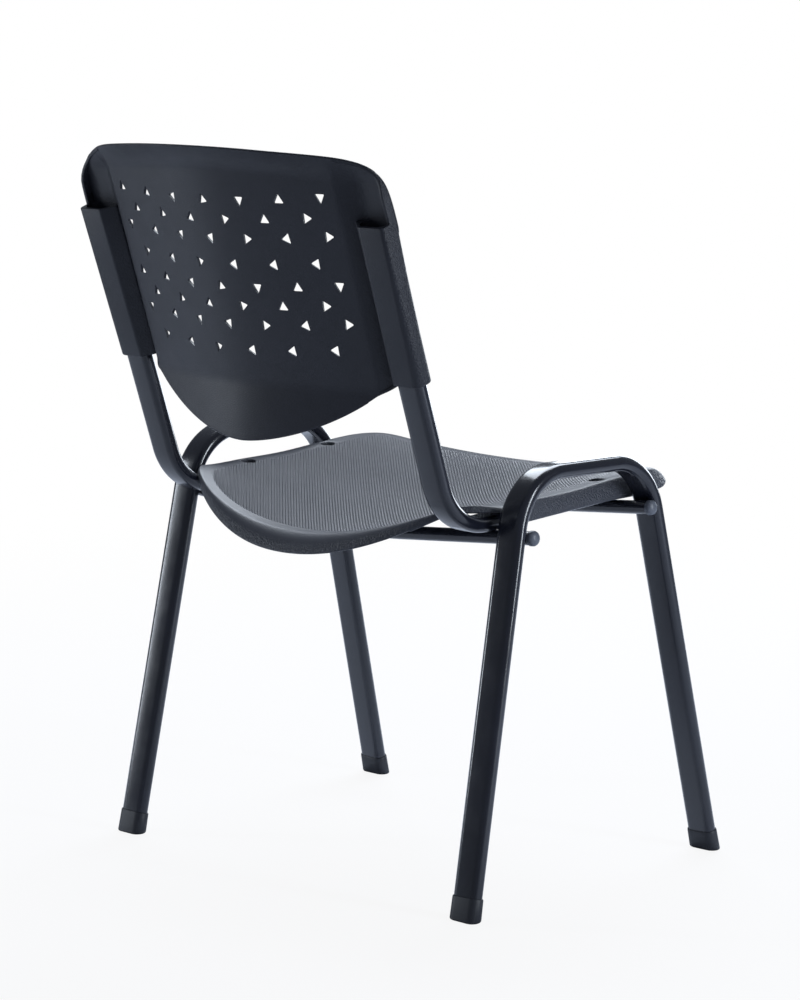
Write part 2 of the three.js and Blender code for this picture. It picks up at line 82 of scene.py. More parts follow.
BACK_WALL, BACK_HALF_WIDTH, BACK_MIDDLE_Z = 3.4, 227.0, 640.0
BACK_TOP, BACK_BOTTOM, BACK_CROWN = 163.0, 151.0, 13.0
BACK_TOP_POWER, BACK_BOTTOM_POWER = 11.0, 1.72
BULGE, BULGE_GROWTH, BULGE_AT_Z, BULGE_EDGE = 56.5, 0.06, 670, 12
BULGE_SOFT, BULGE_POWER, CREASE_BLEND = 40.0, 0.64, 6
LIP, LIP_SHARE, LIP_FROM, LIP_FADE = 24.0, 0.16, (0.5, 0.75), (105, 205)
CREASE_Z, FLARE = 552.0, 0.33
POCKET_INNER, POCKET_OUTER, POCKET_FRONT, POCKET_REAR = 178.0, 226.6, -12.6, 12.6
POCKET_BOTTOM_Z, POCKET_TOP_Z, POCKET_SHOULDER_X = 564.0, 729.0, (190.0, 193.0)
POST_CLEARANCE = 0.3
STEP_FRONT, STEP_REAR, STEP_ENDS = (159, 184), (165, 190), (768, 796)
NARROWING, NARROW_FROM, NARROW_TO = 0.965, (600, 640), (700, 727)  # behind the pockets
RIM_REAR, RIM_EASES = (0.0, -8.0), (752, 782)  # how far the side rims turn back, low and high
VENT_ROWS, VENT_REPEAT, VENT_RADIUS = [746, 726, 706, 679], 91, 6.8
VENT_RISE, VENT_RISE_AT_X = 7.0, 146
VENT_DRAFT = 0.2  # the holes widen towards the front
VENT_SPACING = {7: 49.0, 6: 50.5}
VENT_TURNS = [
    [1, 0.9, 3.2, 1.1, 3, 1, 3],
    [1, 1.1, 2.2, 0.1, 1, 0],
    [3, 3.4, 1.8, 3.2, 0, 2.1, 0],
    [0.1, 2, 0.1, 2, 3.4, 2],
]

SHELL_COLUMNS, SEAT_SPREAD, BACK_SPREAD = 132, 1.25, 1.2
ROUND_TURNS, BEND_STEPS, STRAIGHT_STEPS, EDGE_STEPS = 40, 26, 6, 6
NEAR_ZERO = 1e-9

SIDES = {"left": 1, "right": -1}
UP = Vector((0, 0, 1))
UNIT_X = Vector((1, 0, 0))
UNIT_Y = Vector((0, 1, 0))


# ---- Small mathematics --------------------------------------------------------------------------
def place(point):
    return Vector((point[0], point[1] - CENTRE_Y, point[2])) * MM


def mix(a, b, share):
    return a + (b - a) * share


def smooth(low, high, value):
    t = min(1.0, max(0.0, (value - low) / (high - low)))
    return t * t * (3 - 2 * t)


def curve_through(pairs):
    """A smooth function through (position, value) pairs, level past both ends."""
    xs, ys = [p[0] for p in pairs], [p[1] for p in pairs]
    last = len(xs) - 1
    slopes = [
        (ys[min(i + 1, last)] - ys[max(i - 1, 0)]) / (xs[min(i + 1, last)] - xs[max(i - 1, 0)])
        for i in range(last + 1)
    ]

    def value(at):
        if at <= xs[0] or at >= xs[-1]:
            return ys[0] if at <= xs[0] else ys[-1]
        i = bisect.bisect_right(xs, at) - 1
        span = xs[i + 1] - xs[i]
        t = (at - xs[i]) / span
        return (
            ys[i] * (2 * t**3 - 3 * t**2 + 1)
            + ys[i + 1] * (3 * t**2 - 2 * t**3)
            + span * slopes[i] * (t**3 - 2 * t**2 + t)
            + span * slopes[i + 1] * (t**3 - t**2)
        )

    return value


# ---- Mesh helpers -------------------------------------------------------------------------------
def new_piece(name, verts, faces, sharp=35.0):
    """A mesh object in the row frame from drawing-frame points; edges over sharp degrees stay hard."""
    mesh = bpy.data.meshes.new(name)
    mesh.from_pydata([place(v) for v in verts], [], faces)
    clean = bmesh.new()
    clean.from_mesh(mesh)
    bmesh.ops.remove_doubles(clean, verts=clean.verts, dist=1e-6)
    bmesh.ops.recalc_face_normals(clean, faces=clean.faces)
    clean.to_mesh(mesh)
    clean.free()
    smooth_shade(mesh, sharp)
    piece = bpy.data.objects.new(name, mesh)
    bpy.context.scene.collection.objects.link(piece)
    return piece


def smooth_shade(mesh, sharp):
    mesh.shade_smooth()
    mesh.set_sharp_from_angle(angle=math.radians(sharp))


def loft(rings):
    """Quads between rings of equal length, with the first and last ring capped."""
    count = len(rings[0])
    verts = [p for ring in rings for p in ring]
    faces = []
    for i in range(len(rings) - 1):
        a, b = i * count, (i + 1) * count
        for j in range(count):
            k = (j + 1) % count
            faces.append((a + j, a + k, b + k, b + j))
    faces.append(tuple(range(count))[::-1])
    faces.append(tuple(range((len(rings) - 1) * count, len(rings) * count)))
    return verts, faces


def joined(*parts):
    """Several (verts, faces) lists as one."""
    verts, faces = [], []
    for part_verts, part_faces in parts:
        base = len(verts)
        verts += part_verts
        faces += [tuple(base + i for i in face) for face in part_faces]
    return verts, faces


def oval(width, depth, turns=14):
    """Outline of a flat oval, counter-clockwise."""
    r = depth / 2
    half = width / 2 - r
    ends = []
    for side, start in ((1, -math.pi / 2), (-1, math.pi / 2)):
        for i in range(turns + 1):
            angle = start + math.pi * i / turns
            ends.append((side * half + r * math.cos(angle), r * math.sin(angle)))
    return ends


def circle(radius):
    steps = [2 * math.pi * i / ROUND_TURNS for i in range(ROUND_TURNS)]
    return [(radius * math.cos(a), radius * math.sin(a)) for a in steps]


def ring_at(outline, centre, across, upward):
    return [centre + across * a + upward * b for a, b in outline]


def bent_line(corners, radii):
    """(point, direction) stations along straight runs with round corners, in the plane x = 0."""
    at = [Vector((0, y, z)) for y, z in corners]
    along = [(b - a).normalized() for a, b in zip(at, at[1:])]
    stations = [(at[0], along[0])]
    for i, radius in enumerate(radii):
        before, after = along[i], along[i + 1]
        angle = before.angle(after)
        axis = before.cross(after).normalized()
        start = at[i + 1] - before * radius * math.tan(angle / 2)
        centre = start + axis.cross(before) * radius
        last = stations[-1][0]
        for step in range(1, STRAIGHT_STEPS):
            stations.append((last.lerp(start, step / STRAIGHT_STEPS), before))
        for step in range(BEND_STEPS + 1):
            turn = Matrix.Rotation(angle * step / BEND_STEPS, 3, axis)
            stations.append((centre + turn @ (start - centre), turn @ before))
    last = stations[-1][0]
    for step in range(1, STRAIGHT_STEPS):
        stations.append((last.lerp(at[-1], step / STRAIGHT_STEPS), along[-1]))
    stations.append((at[-1], along[-1]))
    return stations


def sweep(outline, stations, to_place):
    """The outline carried along the stations; its first direction stays across the chair."""
    rings = []
    for point, direction in stations:
        ring = ring_at(outline, point, UNIT_X, direction.cross(UNIT_X))
        rings.append([to_place(p) for p in ring])
    return loft(rings)


def lathe(profile, origin, axis):
    """A profile of (radius, height) pairs, from axis to axis, turned about a line."""
    side = axis.orthogonal().normalized()
    other = axis.cross(side)
    rings = []
    for radius, height in profile:
        outline = circle(max(radius, 0.01))
        rings.append(ring_at(outline, origin + axis * height, side, other))
    return loft(rings)


def slab(spread, point_at):
    """A moulded sheet: two grids from point_at(u, v, under), joined by a rounded edge.
    Grid lines are packed towards the edge."""
    columns = SHELL_COLUMNS
    steps = [2 * i / columns - 1 for i in range(columns + 1)]
    packed = [math.copysign(1 - max(0.0, 1 - abs(t)) ** spread, t) for t in steps]
    size = columns + 1
    verts = [point_at(u, v, under) for under in (False, True) for v in packed for u in packed]
    layer = size * size
    faces = []
    for j in range(columns):
        for i in range(columns):
            a = j * size + i
            quad = (a, a + 1, a + 1 + size, a + size)
            faces.append(quad)
            faces.append(tuple(layer + k for k in reversed(quad)))
    edge = (
        list(range(columns))
        + [j * size + columns for j in range(columns)]
        + [columns * size + i for i in range(columns, 0, -1)]
        + [j * size for j in range(columns, 0, -1)]
    )

    def inner(index):
        j, i = divmod(index, size)
        return min(max(j, 1), columns - 1) * size + min(max(i, 1), columns - 1)

    rows = [edge]
    for step in range(1, EDGE_STEPS):
        turn = math.pi * step / EDGE_STEPS
        row = []
        for index in edge:
            top, low, inside = verts[index], verts[layer + index], verts[inner(index)]
            half = (top - low) / 2
            out = top - inside
            out -= half * out.dot(half) / half.length_squared
            out = out.normalized() * half.length
            row.append(len(verts))
            verts.append((top + low) / 2 + half * math.cos(turn) + out * math.sin(turn))
        rows.append(row)
    rows.append([layer + index for index in edge])
    for row, below in zip(rows, rows[1:]):
        for k in range(len(edge)):
            n = (k + 1) % len(edge)
            faces.append((row[k], below[k], below[n], row[n]))
    return verts, faces


def carve(piece, operation, verts, faces, sharp=35.0):
    """Joins or cuts the piece with a closed mesh, and leaves no modifier behind."""
    tool = new_piece("carving_tool", verts, faces)
    modifier = piece.modifiers.new("carve", "BOOLEAN")
    modifier.operation = operation
    modifier.solver = "EXACT"
    modifier.object = tool
    bpy.context.view_layer.update()
    shape = bpy.data.meshes.new_from_object(piece.evaluated_get(bpy.context.evaluated_depsgraph_get()))
    piece.modifiers.remove(modifier)
    piece.data = shape
    smooth_shade(shape, sharp)
    bpy.data.objects.remove(tool)


def finish_piece(piece, material, node):
    piece.data.materials.clear()
    piece.data.materials.append(material)
    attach(piece, "root")
    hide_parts(node)


# ---- Materials ----------------------------------------------------------------------------------
class Shader:
    """A Principled material with short calls for the nodes that feed it."""

    def __init__(self, name):
        self.material = bpy.data.materials.new(name)
        self.material.use_nodes = True
        self.tree = self.material.node_tree
        self.main = self.tree.nodes["Principled BSDF"]
        coordinates = self.tree.nodes.new("ShaderNodeTexCoord")
        self.place = coordinates.outputs["Object"]

    def link(self, source, socket):
        if hasattr(source, "is_output"):
            self.tree.links.new(source, socket)
        else:
            socket.default_value = source

    def node(self, kind, inputs, **settings):
        node = self.tree.nodes.new(kind)
        for key, value in settings.items():
            setattr(node, key, value)
        for key, value in inputs.items():
            self.link(value, node.inputs[key])
        return node

    def noise(self, scale, detail, roughness=0.5):
        inputs = {"Vector": self.place, "Scale": scale, "Detail": detail, "Roughness": roughness}
        return self.node("ShaderNodeTexNoise", inputs).outputs["Fac"]

    def maths(self, operation, a, b=0.0):
        return self.node("ShaderNodeMath", {0: a, 1: b}, operation=operation).outputs[0]

    def ramp(self, value, low, high, to_low=0.0, to_high=1.0):
        inputs = {"Value": value, "From Min": low, "From Max": high}
        inputs.update({"To Min": to_low, "To Max": to_high})
        node = self.node("ShaderNodeMapRange", inputs, interpolation_type="SMOOTHSTEP")
        return node.outputs["Result"]

    def blend(self, share, a, b):
        inputs = {0: share, 6: (*a, 1), 7: (*b, 1)}
        return self.node("ShaderNodeMix", inputs, data_type="RGBA").outputs[2]

    def choose(self, share, a, b):
        """One direction or the other, by share."""
        inputs = {0: share, 4: a, 5: b}
        return self.node("ShaderNodeMix", inputs, data_type="VECTOR").outputs[1]

    def facing(self):
        """The face's own direction, axis by axis."""
        normal = self.node("ShaderNodeNewGeometry", {}).outputs["True Normal"]
        return self.node("ShaderNodeSeparateXYZ", {"Vector": normal}).outputs

    def bump(self, height, distance, strength, under=None):
        inputs = {"Height": height, "Distance": distance, "Strength": strength}
        if under:
            inputs["Normal"] = under
        return self.node("ShaderNodeBump", inputs).outputs["Normal"]

    def finish(self, colour, roughness, normal, **constants):
        self.link(colour, self.main.inputs["Base Color"])
        self.link(roughness, self.main.inputs["Roughness"])
        self.link(normal, self.main.inputs["Normal"])
        for key, value in constants.items():
            self.main.inputs[key.replace("_", " ")].default_value = value
        return self.material


def powder_coat():
    """Semi-gloss powder coat with a faint orange peel and a little dust."""
    s = Shader("powder_coat")
    cloud = s.noise(9.0, 4.0)
    colour = s.blend(s.ramp(cloud, 0.35, 0.7), (0.0085, 0.0098, 0.0165), (0.012, 0.0138, 0.023))
    smudge = s.ramp(s.noise(38.0, 5.0, 0.6), 0.4, 0.7)
    roughness = s.maths("ADD", s.maths("MULTIPLY", smudge, 0.06), 0.20)
    peel = s.bump(s.noise(380.0, 2.0), 0.00003, 0.3)
    grain = s.bump(s.noise(2200.0, 2.0), 0.00002, 0.3, peel)
    return s.finish(colour, roughness, grain, Specular_IOR_Level=0.5, Coat_Weight=0.4,
                    Coat_Roughness=0.10)


def plastic_colour(s, dark, light):
    cloud = s.ramp(s.noise(7.0, 4.0, 0.55), 0.3, 0.72)
    speck = s.ramp(s.noise(900.0, 2.0), 0.35, 0.75)
    share = s.maths("ADD", s.maths("MULTIPLY", cloud, 0.7), s.maths("MULTIPLY", speck, 0.3))
    return s.blend(share, dark, light)


def leather_grain(s, scale, distance, strength, under=None):
    """A moulded spark-eroded grain: rounded pebbles with finer noise on them."""
    pebbles = s.node("ShaderNodeTexVoronoi", {"Vector": s.place, "Scale": scale, "Randomness": 1.0},
                     feature="SMOOTH_F1").outputs["Distance"]
    fine = s.noise(scale * 2.2, 3.0)
    height = s.maths("ADD", s.maths("MULTIPLY", pebbles, 0.8), s.maths("MULTIPLY", fine, 0.5))
    return s.bump(height, distance, strength, under)


KNURL_PITCH = 0.0031  # metres, as are the sizes of the sitting field
FIELD_HALF_WIDTH, FIELD_REAR, FIELD_FRONT, FIELD_POWER = 0.199, 0.083, (-0.236, -0.228), 2.6


def seat_plastic():
    """Satin plastic: a fine diagonal knurl on the sitting field, coarse grain on the flanges."""
    s = Shader("seat_plastic")
    axes = s.node("ShaderNodeSeparateXYZ", {"Vector": s.place})
    x, y = axes.outputs["X"], axes.outputs["Y"]
    away = s.maths("ABSOLUTE", x)
    centre = (SEAT_CENTRE_Y - CENTRE_Y) * MM
    field_x = s.maths("POWER", s.maths("DIVIDE", away, FIELD_HALF_WIDTH), FIELD_POWER)
    behind = s.maths("MAXIMUM", s.maths("SUBTRACT", y, centre), 0.0)
    field_y = s.maths("POWER", s.maths("DIVIDE", behind, FIELD_REAR), FIELD_POWER)
    before = s.ramp(y, *FIELD_FRONT)
    inside = s.ramp(s.maths("ADD", field_x, field_y), 0.97, 1.04, 1.0, 0.0)
    field = s.maths("MULTIPLY", inside, before)
    per_metre = math.pi * math.sqrt(2) / KNURL_PITCH
    rising, falling = (
        s.maths("SINE", s.maths("MULTIPLY", s.maths(way, x, y), per_metre))
        for way in ("ADD", "SUBTRACT")
    )
    knurl = s.maths("ADD", rising, s.maths("MULTIPLY", falling, 0.7))
    ribs = s.bump(s.maths("MULTIPLY", knurl, field), 0.00036, 0.9)
    step = s.bump(field, 0.0007, 0.8, ribs)
    flank = s.ramp(s.facing()["Z"], 0.5, 0.85, 1.0, 0.0)
    grain = leather_grain(s, 480.0, 0.0012, 1.0, step)
    fine = leather_grain(s, 1500.0, 0.0001, 0.35, step)
    shown = s.choose(flank, fine, grain)
    colour = plastic_colour(s, (0.035, 0.038, 0.050), (0.049, 0.053, 0.068))
    roughness = s.maths("ADD", s.maths("MULTIPLY", s.noise(60.0, 4.0), 0.10), 0.34)
    return s.finish(colour, roughness, shown, Specular_IOR_Level=0.5)


def back_plastic():
    """Satin plastic, finely grained, with a coarser grain on the outward-facing sleeve sides; its colour
    is the seat plastic's darkened as painted shade.
    """
    s = Shader("back_plastic")
    sideways = s.ramp(s.maths("ABSOLUTE", s.facing()["X"]), 0.6, 0.85)
    coarse = leather_grain(s, 520.0, 0.0010, 1.0)
    fine = leather_grain(s, 900.0, 0.0003, 0.6)
    shown = s.choose(sideways, fine, coarse)
    # painted shade: the seat's plastic colour made darker, standing in for the shade on the back's rear
    # face
    colour = plastic_colour(s, (0.0130, 0.0142, 0.0205), (0.0190, 0.0208, 0.0300))
    roughness = s.maths("ADD", s.maths("MULTIPLY", s.noise(45.0, 4.0), 0.10), 0.42)
    return s.finish(colour, roughness, shown, Specular_IOR_Level=0.45)


def soft_plastic(name, dark, light, roughness, scale):
    s = Shader(name)
    colour = plastic_colour(s, dark, light)
    rough = s.maths("ADD", s.maths("MULTIPLY", s.noise(80.0, 4.0), 0.12), roughness)
    return s.finish(colour, rough, leather_grain(s, scale, 0.00012, 0.4))


PAINT = powder_coat()
SEAT_PLASTIC = seat_plastic()
SHADED_BACK_PLASTIC = back_plastic()
FOOT_PLASTIC = soft_plastic("foot_plastic", (0.014, 0.0155, 0.021), (0.02, 0.022, 0.029), 0.42, 900.0)
PLUG_PLASTIC = soft_plastic("plug_plastic", (0.09, 0.10, 0.125), (0.13, 0.14, 0.165), 0.33, 1200.0)
SCREW_PAINT = soft_plastic("screw_coating", (0.012, 0.013, 0.016), (0.02, 0.021, 0.025), 0.3, 1800.0)


# ---- Leg frames, foot caps and crossbars --------------------------------------------------------
def splay_turn(side):
    return Matrix.Rotation(-side * SPLAY, 3, "Y")


def splayed(side):
    return lambda p: splay_turn(side) @ p + Vector((side * FOOT_X, 0, 0))


def toward(start, end, distance):
    (y0, z0), (y1, z1) = start, end
    share = distance / math.hypot(y1 - y0, z1 - z0)
    return (mix(y0, y1, share), mix(z0, z1, share))


def leg_frame(word, side):
    rear, front = LEG_CORNERS[0], LEG_CORNERS[3]
    corners = [
        toward(rear, LEG_CORNERS[1], TUBE_ABOVE_FLOOR), LEG_CORNERS[1], LEG_CORNERS[2],
        toward(front, LEG_CORNERS[2], TUBE_ABOVE_FLOOR),
    ]
    shape = sweep(oval(TUBE_WIDTH, TUBE_DEPTH), bent_line(corners, LEG_BENDS), splayed(side))
    piece = new_piece(f"leg_tube_{word}", *shape)
    finish_piece(piece, PAINT, f"leg_frame_{word}")


def foot_cap(word, end, side, foot, knee):
    """A snug sleeve with rounded ends; its sole is cut level with the floor."""
    start = Vector((0, *foot))
    up = (Vector((0, *knee)) - start).normalized()
    across_up = up.cross(UNIT_X)
    to_world = splayed(side)
    rings = []
    for height, inset in [(0.0, 1.6), (0.5, 0.7), (1.6, 0.0), (CAP_HEIGHT - 1.6, 0.35),
                          (CAP_HEIGHT - 0.5, 0.7), (CAP_HEIGHT, 1.35), (CAP_HEIGHT - 0.2, 1.7)]:
        outline = oval(CAP_WIDTH - 2 * inset, CAP_DEPTH - 2 * inset)
        ring = [to_world(p) for p in ring_at(outline, start + up * height, UNIT_X, across_up)]
        if height < 2:
            # near the floor the rings lie level instead of square to the leg
            ring = [p + splay_turn(side) @ up * ((height - p.z) / up.z) for p in ring]
        rings.append(ring)
    piece = new_piece(f"foot_sleeve_{end}_{word}", *loft(rings))
    finish_piece(piece, FOOT_PLASTIC, f"foot_cap_{end}_{word}")


def bar_drop(x):
    away = abs(x)
    run = (BAR_END_X - max(away, BAR_FLAT_X)) * BAR_SAG
    bow = (BAR_FLAT_X**2 - away**2) / (2 * BAR_BOW_RADIUS) if away < BAR_FLAT_X else 0.0
    return run + bow


def crossbar(end, y, z):
    rings = []
    spans = 64
    for i in range(spans + 1):
        x = mix(-BAR_END_X, BAR_END_X, i / spans)
        slope = (bar_drop(x - 1) - bar_drop(x + 1)) / 2
        along = Vector((1, 0, slope)).normalized()
        centre = Vector((x, y, z - bar_drop(x)))
        rings.append(ring_at(circle(BAR_RADIUS), centre, UNIT_Y, along.cross(UNIT_Y)))
    piece = new_piece(f"crossbar_tube_{end}", *loft(rings))
    finish_piece(piece, PAINT, f"crossbar_{end}")


def bar_plug(word, end, side, y, z):
    r, length, stem = BAR_PLUG_RADIUS, BAR_PLUG_LENGTH, BAR_PLUG_STEM
    dome_from = 0.42 * length
    profile = [(0, -stem), (5, -stem), (5.2, -stem + 0.6), (5.2, 0.3), (r - 0.5, 0.3), (r, 0.8),
               (r, dome_from)]
    steps = 9
    for i in range(1, steps + 1):
        angle = math.pi / 2 * i / steps
        profile.append((r * math.cos(angle), dome_from + (length - dome_from) * math.sin(angle)))
    axis = Vector((side, 0, BAR_SAG)).normalized()
    shape = lathe(profile, Vector((side * BAR_END_X, y, z)), axis)
    piece = new_piece(f"bar_end_{end}_{word}", *shape)
    finish_piece(piece, PLUG_PLASTIC, f"crossbar_plug_{end}_{word}")


# ---- Back posts and arm plugs -------------------------------------------------------------------
def arm_z(y):
    (y0, z0), (y1, z1) = POST_CORNERS[:2]
    return mix(z0, z1, (y - y0) / (y1 - y0))


def back_post(word, side):
    shape = sweep(oval(TUBE_WIDTH, TUBE_DEPTH), bent_line(POST_CORNERS, [POST_BEND]),
                  lambda p: p + Vector((side * POST_X, 0, 0)))
    piece = new_piece(f"post_tube_{word}", *shape)
    finish_piece(piece, PAINT, f"back_post_{word}")


def arm_plug(word, side):
    start = Vector((side * POST_X, *POST_CORNERS[0]))
    ahead = (Vector((0, *POST_CORNERS[0])) - Vector((0, *POST_CORNERS[1]))).normalized()
    rings = []
    for distance, inset in [(-12, 2.3), (0.3, 2.3), (0.3, 0.3), (0.8, 0.0), (2.8, 0.1),
                            (3.8, 0.8), (4.4, 2.0), (4.6, 3.6)]:
        outline = oval(TUBE_WIDTH - 2 * inset, TUBE_DEPTH - 2 * inset)
        rings.append(ring_at(outline, start + ahead * distance, UNIT_X, ahead.cross(UNIT_X)))
    piece = new_piece(f"arm_end_{word}", *loft(rings))
    finish_piece(piece, PLUG_PLASTIC, f"arm_plug_{word}")


# ---- Seat shell and screws ----------------------------------------------------------------------
seat_middle = curve_through(SEAT_MIDDLE)
seat_dip = curve_through(SEAT_DIP)
side_hem = curve_through(SIDE_HEM)


def seat_across(x):
    """0 in the middle to 1 on the level margin, with a soft shoulder between."""
    t = abs(x) / SEAT_MARGIN_X
    low, high = MARGIN_SHOULDER
    if t <= low:
        return t**SEAT_DIP_POWER
    if t >= high:
        return 1.0
    share = (t - low) / (high - low)
    start = low**SEAT_DIP_POWER
    slope = SEAT_DIP_POWER * low ** (SEAT_DIP_POWER - 1) * (high - low)
    return (
        start * (2 * share**3 - 3 * share**2 + 1)
        + (3 * share**2 - 2 * share**3)
        + slope * (share**3 - 2 * share**2 + share)
    )


def seat_height(x, y):
    return seat_middle(y) + seat_dip(y) * seat_across(x)


def hem_height(x, y):
    rise = REAR_HEM["rise"] * (abs(x) / REAR_HEM["width"]) ** REAR_HEM["power"]
    rear = min(REAR_HEM["middle"] + rise, REAR_HEM["limit"])
    front = seat_height(x, y) - FRONT_HEM_DEPTH
    flank = mix(front, side_hem(y), smooth(*HEM_TURNS["front"], y))
    return mix(flank, rear, smooth(*HEM_TURNS["rear"], y))


def outline_point(u, v, rim, inset):
    power = rim["rear_power"] if v > 0 else rim["front_power"]
    reach = (abs(u) ** power + abs(v) ** power) ** (-1 / power)
    depth = rim["rear"] if v > 0 else rim["front"]
    return (rim["half_width"] - inset) * u * reach, SEAT_CENTRE_Y + (depth - inset) * v * reach


def seat_point(u, v, under):
    ring = max(abs(u), abs(v))
    inset = SEAT_WALL if under else 0.0
    if ring < NEAR_ZERO:
        return Vector((0, SEAT_CENTRE_Y, seat_height(0, SEAT_CENTRE_Y) - inset))
    rim_x, rim_y = outline_point(u / ring, v / ring, SEAT_RIM, inset)
    if ring <= SEAT_RIM_SHARE:
        share = ring / SEAT_RIM_SHARE
        x, y = rim_x * share, mix(SEAT_CENTRE_Y, rim_y, share)
        return Vector((x, y, seat_height(x, y) - inset))
    hem_x, hem_y = outline_point(u / ring, v / ring, SEAT_HEM, inset)
    rim_z = seat_height(rim_x, rim_y) - inset
    hem_z = hem_height(hem_x, hem_y)
    t = (ring - SEAT_RIM_SHARE) / (1 - SEAT_RIM_SHARE)
    rim = Vector((rim_x, rim_y, rim_z))
    hem = Vector((hem_x, hem_y, hem_z))
    shoulder = rim.lerp(hem, 0.5).lerp(Vector((hem_x, hem_y, rim_z)), SEAT_SHOULDER)
    return rim * (1 - t) ** 2 + shoulder * 2 * t * (1 - t) + hem * t * t


def seat_shell():
    piece = new_piece("seat_moulding", *slab(SEAT_SPREAD, seat_point))
    cutters, bosses = [], []
    for side in SIDES.values():
        for y in SCREW_Y.values():
            x = side * POST_X
            top = seat_height(x, y)
            foot = arm_z(y) + TUBE_DEPTH / 2 + BOSS_ABOVE_ARM
            origin = Vector((x, y, 0))
            boss = [(0, foot), (BOSS_RADIUS, foot), (BOSS_RADIUS, top - 2), (0, top - 2)]
            bosses.append(lathe(boss, origin, UP))
            r, floor = SCREW_RECESS_RADIUS, top - SCREW_RECESS
            cutters.append(lathe([(0, floor), (r - 0.8, floor), (r, floor + 0.8), (r, top - 0.4),
                                  (r + 2.4, top + 2), (r + 2.4, top + 9), (0, top + 9)], origin, UP))
            bore = [(0, foot - 4), (SCREW_BORE_RADIUS, foot - 4),
                    (SCREW_BORE_RADIUS, floor + 0.2), (0, floor + 0.2)]
            cutters.append(lathe(bore, origin, UP))
    carve(piece, "UNION", *joined(*bosses), 50.0)
    carve(piece, "DIFFERENCE", *joined(*cutters), 50.0)
    finish_piece(piece, SEAT_PLASTIC, "seat_shell")


def seat_screw(word, end, side, y):
    """A pan-head screw with a cross recess, sunk in the seat's round recess."""
    r, shank = SCREW_HEAD_RADIUS, SCREW_SHANK_RADIUS
    origin = Vector((side * POST_X, y, seat_height(POST_X, y) - SCREW_RECESS + 0.3))
    profile = [(0, -SCREW_LENGTH), (shank, -SCREW_LENGTH + 3), (shank, 0), (r - 0.3, 0), (r, 0.3),
               (r, 0.9), (0.86 * r, 1.7), (0.6 * r, 2.4), (0.3 * r, 2.8), (0, 2.9)]
    piece = new_piece(f"screw_{end}_{word}", *lathe(profile, origin, UP))
    for turn in (SCREW_SLOT_TURN, SCREW_SLOT_TURN + math.pi / 2):
        along = Vector((math.cos(turn), math.sin(turn), 0))
        across = Vector((-math.sin(turn), math.cos(turn), 0))
        base = origin + UP * 1.1
        rings = [[base + along * a * k + across * b * k + UP * h for a, b in
                  ((-2.6, -0.5), (2.6, -0.5), (2.6, 0.5), (-2.6, 0.5))]
                 for h, k in ((0, 0.55), (3, 1.25))]
        carve(piece, "DIFFERENCE", *loft(rings))
    finish_piece(piece, SCREW_PAINT, f"seat_screw_{end}_{word}")


# ---- Back shell ---------------------------------------------------------------------------------
def post_y(z):
    return POST_CORNERS[1][0] + math.tan(RECLINE) * (z - POST_CORNERS[1][1])


def panel_behind_posts(x, z):
    """The panel's middle surface: bulged to the rear, and flared below the crease."""
    soft = BULGE_SOFT**2
    across = ((x * x + soft) / (BACK_HALF_WIDTH**2 + soft)) ** BULGE_POWER
    bulge = (BULGE - BULGE_GROWTH * (z - BULGE_AT_Z)) * (1 - across) - BULGE_EDGE
    below = CREASE_Z - z
    eased = max(0.0, below + CREASE_BLEND) ** 2 / (4 * CREASE_BLEND)
    return bulge + FLARE * (below if below > CREASE_BLEND else eased)


def back_outline(u, v):
    """Where the direction (u, v) of a square's edge lands on the shell, seen square on."""
    ring = max(abs(u), abs(v), NEAR_ZERO)
    a, b = abs(u / ring), abs(v / ring)
    power = BACK_TOP_POWER if v > 0 else BACK_BOTTOM_POWER
    reach = (a**power + b**power) ** (-1 / power) if max(a, b) > 0 else 1.0
    edge = BACK_WALL / 2  # left for the rounded edge
    x = (BACK_HALF_WIDTH - edge) * u * reach
    crown = BACK_CROWN * (x / BACK_HALF_WIDTH) ** 2 * v if v > 0 else 0.0
    z = BACK_MIDDLE_Z + ((BACK_TOP if v > 0 else BACK_BOTTOM) - edge) * v * reach - crown
    hidden = smooth(*NARROW_FROM, z) * (1 - smooth(*NARROW_TO, z))
    return ring, x * mix(1.0, NARROWING, hidden), z


def back_offset(ring, v, x, z, behind):
    """How far one face of the shell stands behind the plane of the posts."""
    along = smooth(*LIP_FROM, v) * (1 - smooth(*LIP_FADE, abs(x)))
    lip = LIP * max(0.0, 1 - (1 - ring) / LIP_SHARE) ** 2 * along
    panel = panel_behind_posts(x, z) + lip + (0.5 if behind else -0.5) * BACK_WALL
    before_post = POCKET_FRONT + (BACK_WALL if behind else 0.0)
    outward = smooth(*(STEP_REAR if behind else STEP_FRONT), abs(x))
    return mix(panel, before_post, outward * (1 - smooth(*STEP_ENDS, z)))


def back_point(u, v, behind):
    ring, x, z = back_outline(u, v)
    return Vector((x, post_y(z) + back_offset(ring, v, x, z, behind), z))


REARWARD = Vector((0, math.cos(RECLINE), -math.sin(RECLINE)))


def filleted(corners):
    """A polygon's outline with round corners, from (x, y, radius) going counter-clockwise."""
    outline = []
    count = len(corners)
    for i, (x, y, radius) in enumerate(corners):
        here = Vector((x, y))
        before = (Vector(corners[i - 1][:2]) - here).normalized()
        after = (Vector(corners[(i + 1) % count][:2]) - here).normalized()
        opening = before.angle(after)
        middle = (before + after).normalized()
        centre = here + middle * radius / math.sin(opening / 2)
        start = here + before * radius / math.tan(opening / 2) - centre
        turn = math.pi - opening
        steps = 8
        for step in range(steps + 1):
            rotated = Matrix.Rotation(turn * step / steps, 2) @ start
            outline.append(tuple(centre + rotated))
    return outline


def around_post(side, levels):
    """A block or bore around a post, lofted through (height, outline) pairs."""
    rings = []
    for z, outline in levels:
        points = ring_at(outline, Vector((0, post_y(z), z)), UNIT_X, REARWARD)
        rings.append([Vector((side * p.x, p.y, p.z)) for p in points])
    return loft(rings)


